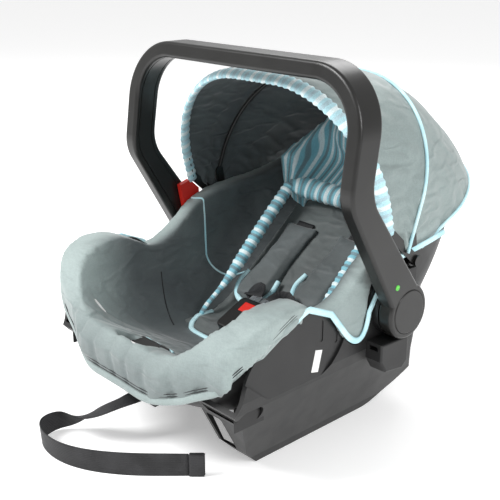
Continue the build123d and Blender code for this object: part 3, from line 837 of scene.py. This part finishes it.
def hoopPoint(row, share, inset=0.0):
    lean, foot, half, height, corner, base = hoopSize(row)
    lean = math.radians(lean)
    half, height = half - inset, height - inset
    leg = height - corner - base
    bend = corner * math.pi / 2
    top = 2 * (half - corner)
    run = share * (2 * leg + 2 * bend + top)
    if run < leg:
        x, h = -half, base + run
    elif run < leg + bend:
        turn = (run - leg) / corner
        x, h = -half + corner - corner * math.cos(turn), height - corner + corner * math.sin(turn)
    elif run < leg + bend + top:
        x, h = corner - half + run - leg - bend, height
    elif run < leg + 2 * bend + top:
        turn = (run - leg - bend - top) / corner
        x, h = half - corner + corner * math.sin(turn), height - corner + corner * math.cos(turn)
    else:
        x, h = half, height - corner - (run - leg - 2 * bend - top)
    return place(x, foot + h * math.sin(lean), hoopHinge + h * math.cos(lean))


def canopyDrop(start, span, share):
    # how far the cloth hangs inside the hoops: a sag between the bows and small creases by the corners
    sag = canopyLook["sag"] * math.sin(math.pi * span) ** 2
    side = smoothStep(0.36, 0.06, share) if share < 0.5 else smoothStep(0.64, 0.94, share)
    gather = 1 - abs(noise.noise(Vector((span * 2.2, share * 34, start))))
    flat = smoothStep(0.0, 0.2, span)
    crease = (gather - 0.6) * canopyLook["crease"] * side * flat * smoothStep(1.0, 0.9, span)
    crease += noise.noise(Vector((span * 5, share * 30, 3 + start))) * canopyLook["ripple"] * flat
    return max(0.0, sag + crease + 0.001)


def canopySheet(name, start, end):
    # outer cloth and a lining a little inside it, the lining painted darker as shade, closed round the edges
    rows, columns = canopyLook["rows"], canopyLook["columns"]
    corners, faces = [], []
    for layer in (0, 1):
        for row in range(rows + 1):
            spot = start + (end - start) * row / rows
            span = (spot - start) / (end - start)
            for column in range(columns + 1):
                share = column / columns
                point = hoopPoint(spot, share)
                inward = (hoodCentre - point).normalized()
                drop = canopyDrop(start, span, share) + canopyLook["apart"] * layer
                corners.append(point + inward * drop)
    ring = (rows + 1) * (columns + 1)
    wide = columns + 1
    for row in range(rows):
        for column in range(columns):
            a = row * wide + column
            faces.append((a, a + 1, a + 1 + wide, a + wide))
            faces.append((a + ring, a + wide + ring, a + 1 + wide + ring, a + 1 + ring))
    for a in range(0, rows * wide, wide):
        faces.append((a, a + wide, a + wide + ring, a + ring))
        b = a + columns
        faces.append((b, b + ring, b + wide + ring, b + wide))
    for column in range(columns):
        faces.append((column, column + ring, column + 1 + ring, column + 1))
        a = rows * wide + column
        faces.append((a, a + 1, a + 1 + ring, a + ring))
    piece = newPiece(name, corners, faces, canopyCloth)
    piece.data.materials.append(insideShade)
    outward(piece)
    # faces of the inner layer get the painted-shade cloth
    for face in piece.data.polygons:
        if all(corner >= ring for corner in face.vertices):
            face.material_index = 1
    return piece


canopyFront = canopySheet("canopy_front_cloth", 0.0, 2.0)
canopyRear = canopySheet("canopy_rear_cloth", 2.0, 4.0)
for piece, node in ((canopyFront, "canopy_front_panel"), (canopyRear, "canopy_rear_panel")):
    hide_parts(node)
bowMiddle = hoopPoint(2.0, 0.5)
bowFront = hoopPoint(0.0, 0.5)
bowRear = hoopPoint(4.0, 0.5)
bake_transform(canopyFront)
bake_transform(canopyRear)


def hoopLine(row, inset, count=160):
    return [hoopPoint(row, k / count, inset) for k in range(count + 1)]


def outOfHood(point):
    return point - hoodCentre


piping = sweptTube("canopy_piping", hoopLine(2.0, -0.6), 0.0056, 0.0048, outOfHood, binding, 10)
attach(piping, "canopy_middle")
rearHem = sweptTube("canopy_rear_hem", hoopLine(4.0, 0.4), 0.0066, 0.0044, outOfHood, binding, 10)
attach(rearHem, "carrier")


def gathers(run, share, angle):  # small folds across the roll, at an uneven pitch
    folds = math.sin(run * 2 * math.pi / 0.0105 + 1.2 * math.sin(run * 40))
    return 1.0 + 0.10 * folds + 0.05 * noise.noise(Vector((run * 90, angle, 0)))


frontRoll = sweptTube("canopy_front_roll", evenPoints(hoopLine(0.02, 3.7, 300), 0.0026), 0.021, 0.0092,
                      outOfHood, hoodStripes, 16, gathers)
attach(frontRoll, "canopy_front")


def declareCanopy(start, end):
    # each part was cut as one shaped panel: hoop length by top depth, less the narrower feet; only the hoop
    # length and top depth are measured here, and nothing uses them
    width = max(runs(hoopLine(start, 0))[-1], runs(hoopLine(end, 0))[-1])
    depth = runs([hoopPoint(start + (end - start) * k / 20, 0.5) for k in range(21)])[-1]


declareCanopy(0.0, 2.0)
declareCanopy(2.0, 4.0)
print("canopy ready")


# insert rolls, bindings and seams
def surfaceOf(piece):
    form = bmesh.new()
    form.from_mesh(piece.data)
    tree = BVHTree.FromBMesh(form)
    form.free()
    return tree


coverTree = surfaceOf(seatCover)
rollLook = {
    "x": 0.1, "probe": 95, "width": 0.021, "height": 0.018, "gap": 0.0025, "pitch": 0.0098,
    "path": [(106, 278), (43, 223), (-6, 171), (-49, 135), (-80, 118), (-95, 97), (-87, 78), (-55, 48)],
}
above = 420  # height in millimetres that rays are dropped from
down = Vector((0, 0, -1))


def rollShape(run, share, angle):
    ripple = 0.10 * math.sin(run * 2 * math.pi / rollLook["pitch"] + 0.8 * math.sin(run * 55))
    taper = 1.0 - 0.62 * smoothStep(0.48, 0.74, share)
    return (1.0 + ripple * (1 - smoothStep(0.6, 0.8, share))) * taper


for side, sign in (("left", -1), ("right", 1)):
    route = []
    for y, z in rollLook["path"]:
        hit = coverTree.ray_cast(place(sign * rollLook["probe"], y, above), down)[0]
        clothZ = hit.z if hit else z / 1000
        route.append(Vector((sign * rollLook["x"], y / 1000 + hubY, max(z / 1000, clothZ + 0.004))))
    line = evenPoints(splinePoints("roll_line_" + side, route, 14, 4), rollLook["gap"])
    size = rollLook["width"], rollLook["height"]
    roll = sweptTube("insert_roll_" + side, line, *size, backNormal, rollStripes, 16, rollShape)
    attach(roll, "carrier")
huggerHalf = [(-100, 141, 57.6), (-86, 150, 47), (-52, 153, 38)]
huggerPath = huggerHalf + [(0, 154, 36)] + [(-x, y, lift) for x, y, lift in reversed(huggerHalf)]
route = [onRecline(*p) for p in huggerPath]


def huggerGather(run, share, angle):
    ends = smoothStep(0.0, 0.12, min(share, 1 - share))
    return (0.62 + 0.38 * ends) * (1 + 0.08 * math.sin(run * 2 * math.pi / 0.0115 + math.sin(run * 60)))


huggerLine = evenPoints(splinePoints("hugger_line", route, 14, 4), 0.0025)
huggerRoll = sweptTube("hugger_roll", huggerLine, 0.036, 0.026, backNormal, rollStripes, 18, huggerGather)
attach(huggerRoll, "carrier")


def dropOn(trees, x, y, lift):  # a point on the highest surface under a place
    hits = [tree.ray_cast(place(x, y, above), down)[0] for tree in trees]
    tops = [hit.z for hit in hits if hit]
    return None if not tops else Vector((x / 1000, y / 1000 + hubY, max(tops) + lift))


def laidOn(trees, name, path, steps, gap, lift):
    # a smooth line through a flat path, dropped on to the highest surface
    flat = evenPoints(splinePoints(name, [Vector((x / 1000, y / 1000, 0)) for x, y in path], steps), gap)
    spots = [dropOn(trees, p.x * 1000, p.y * 1000, lift) for p in flat]
    return [spot for spot in spots if spot]


insertTree = surfaceOf(bodyInsert)
frontHalf = [(-99, -66), (-101, -92), (-97, -112), (-84, -122), (-50, -124)]
frontPath = frontHalf + [(0, -125)] + [(-x, y) for x, y in reversed(frontHalf)]
route = laidOn([insertTree, coverTree], "front_line", frontPath, 10, 0.004, 0.0015)
frontTrim = sweptTube("insert_front_binding", route, 0.0085, 0.005, (0, 0, 1), binding, 10)
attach(frontTrim, "carrier")

sideSeam = [(189, -30), (176, -27), (160, -20), (142, -8), (122, 8), (106, 24)]
frontSeam = [(163, -116), (150, -122), (128, -132), (104, -140)]
lipSlit = [(-34, -250), (-18, -249), (0, -249), (18, -249), (34, -250)]
seamLook = {  # path, side of the seat, thickness and finish
    "side_seam": (sideSeam, -1, 0.0032, binding),
    "front_seam_left": (frontSeam, -1, 0.0018, webbing),
    "front_seam_right": (frontSeam, 1, 0.0018, webbing),
    "side_seam_right": (sideSeam, 1, 0.0032, binding),
    "lip_slit_top": (lipSlit, 1, 0.0042, binding),
}
for name, (path, sign, thick, finish) in seamLook.items():
    path = [(sign * x, y) for x, y in path]
    route = evenPoints(laidOn([coverTree], name + "_line", path, 12, 0.002, 0.0004), 0.004)
    seam = sweptTube(name, route, thick, thick, (0.2, 0, 1), finish, 8)
    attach(seam, "carrier")
print("rolls ready")


hemBinding = {"lift": 0.001, "outside": 0.1985, "front": -0.195, "back": 0.15, "step": 0.009}
hemLine = [(-278, 123), (-262, 165), (-230, 197), (-180, 222), (-154, 227), (-128, 213), (-106, 187),
           (-82, 157), (-62, 149), (-48, 167), (-42, 207), (-24, 241), (20, 251), (90, 259), (160, 273),
           (290, 316)]


def onCover(y, z, sign):
    # the cover's outer face beside a height, seen square from the side
    hit = coverTree.ray_cast(Vector((sign * 0.4, y / 1000 + hubY, z / 1000)), Vector((-sign, 0, 0)))[0]
    return None if hit is None else hit + Vector((sign * hemBinding["lift"], 0, 0))


for side, sign in (("left", -1), ("right", 1)):
    flat = [Vector((0, y / 1000, z / 1000)) for y, z in hemLine]
    smooth = evenPoints(splinePoints("hem_line_" + side, flat, 10, 3), 0.004)
    route = []
    for spot in smooth:
        found = onCover(spot.y * 1000, spot.z * 1000 + 2.5, sign)
        if not found or not hemBinding["front"] < spot.y < hemBinding["back"]:
            continue
        if not route or abs(found.x - route[-1].x) < hemBinding["step"]:
            found.x = sign * max(abs(found.x), hemBinding["outside"])
            route.append(found)
    for spot, x in zip(route, evened([p.x for p in route], 5)):
        spot.x = x + sign * 0.0006
    hem = sweptTube("hem_binding_" + side, route, 0.009, 0.0042, (sign, 0, 0), binding, 10)
    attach(hem, "carrier")
print("bindings ready")

# folded hem with a double row of stitches round the front lip
lipCentre = Vector((0, -0.13, 0))
spokes = 120


def lipEdge():
    # lowest height of the outer cloth in each direction round the front lip, evened out
    reach = [[] for spoke in range(spokes + 1)]
    for vertex in seatCover.data.vertices:
        away = Vector((vertex.co.x, vertex.co.y, 0)) - lipCentre
        turn = math.atan2(away.y, away.x)
        if turn < 0:
            reach[int(round((math.pi + turn) / math.pi * spokes))].append((away.length, vertex.co.z))
    heights = []
    for spoke, found in enumerate(reach):
        far = sorted(r for r, z in found)[int(len(found) * 0.97)]
        skirt = 0.965 - 0.105 * math.sin(math.pi * spoke / spokes) ** 2
        heights.append(min(z for r, z in found if r > far * skirt))
    return evened(heights, 3)


lipHeights = lipEdge()


def frontLine(rise, lift):  # the lip's face a little above its lower edge
    found = []
    for spoke, height in enumerate(lipHeights):
        angle = math.pi * (1 + spoke / spokes)
        aim = Vector((math.cos(angle), math.sin(angle), 0))
        start = lipCentre + aim * 0.5 + Vector((0, 0, height + rise / 1000))
        hit = coverTree.ray_cast(start, -aim)[0]
        if hit and (Vector((hit.x, hit.y, 0)) - lipCentre).dot(aim) > 0.09:
            found.append(hit + aim * lift)
    return found


hemLook = {  # rise above the lip's lower edge, lift off the cloth, width, height and finish
    "fold": (3.5, 0.0006, 0.0048, 0.011, coverFinish),
    "stitch_low": (11.0, 0.0002, 0.0011, 0.0011, webbing),
    "stitch_high": (15.0, 0.0002, 0.0011, 0.0011, webbing),
}
for name, (rise, lift, wide, thick, finish) in hemLook.items():
    route = evenPoints(evened(frontLine(rise, lift), 3), 0.004)
    front = sweptTube("front_hem_" + name, route, wide, thick, (0, 0, 1), finish, 10)
    # the fold is marked pale like the lip around it: painted light
    if finish is coverFinish:
        mark(front, "pale", [0.9] * len(front.data.vertices))
    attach(front, "carrier")
print("front hem ready")

# dark plates behind the latch slots in the rails
plateLook = {"x": 180, "y": -247, "z": 104, "long": 50, "high": 34, "thick": 2.4, "bevel": 0.0008}
for side, sign in (("left", -1), ("right", 1)):
    spot = place(sign * plateLook["x"], plateLook["y"], plateLook["z"])
    bpy.ops.mesh.primitive_cube_add(size=1, location=spot)
    plate = bpy.context.object
    plate.name = "latch_plate_" + side
    plate.scale = (plateLook["thick"] / 1000, plateLook["long"] / 1000, plateLook["high"] / 1000)
    bpy.ops.object.transform_apply(location=True, rotation=True, scale=True)
    bpy.ops.object.mode_set(mode="EDIT")
    bpy.ops.mesh.select_all(action="SELECT")
    bpy.ops.mesh.bevel(offset=plateLook["bevel"], segments=2)
    bpy.ops.object.mode_set(mode="OBJECT")
    plate.data.materials.append(blackShell)
    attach(plate, "carrier")
    plate.select_set(False)
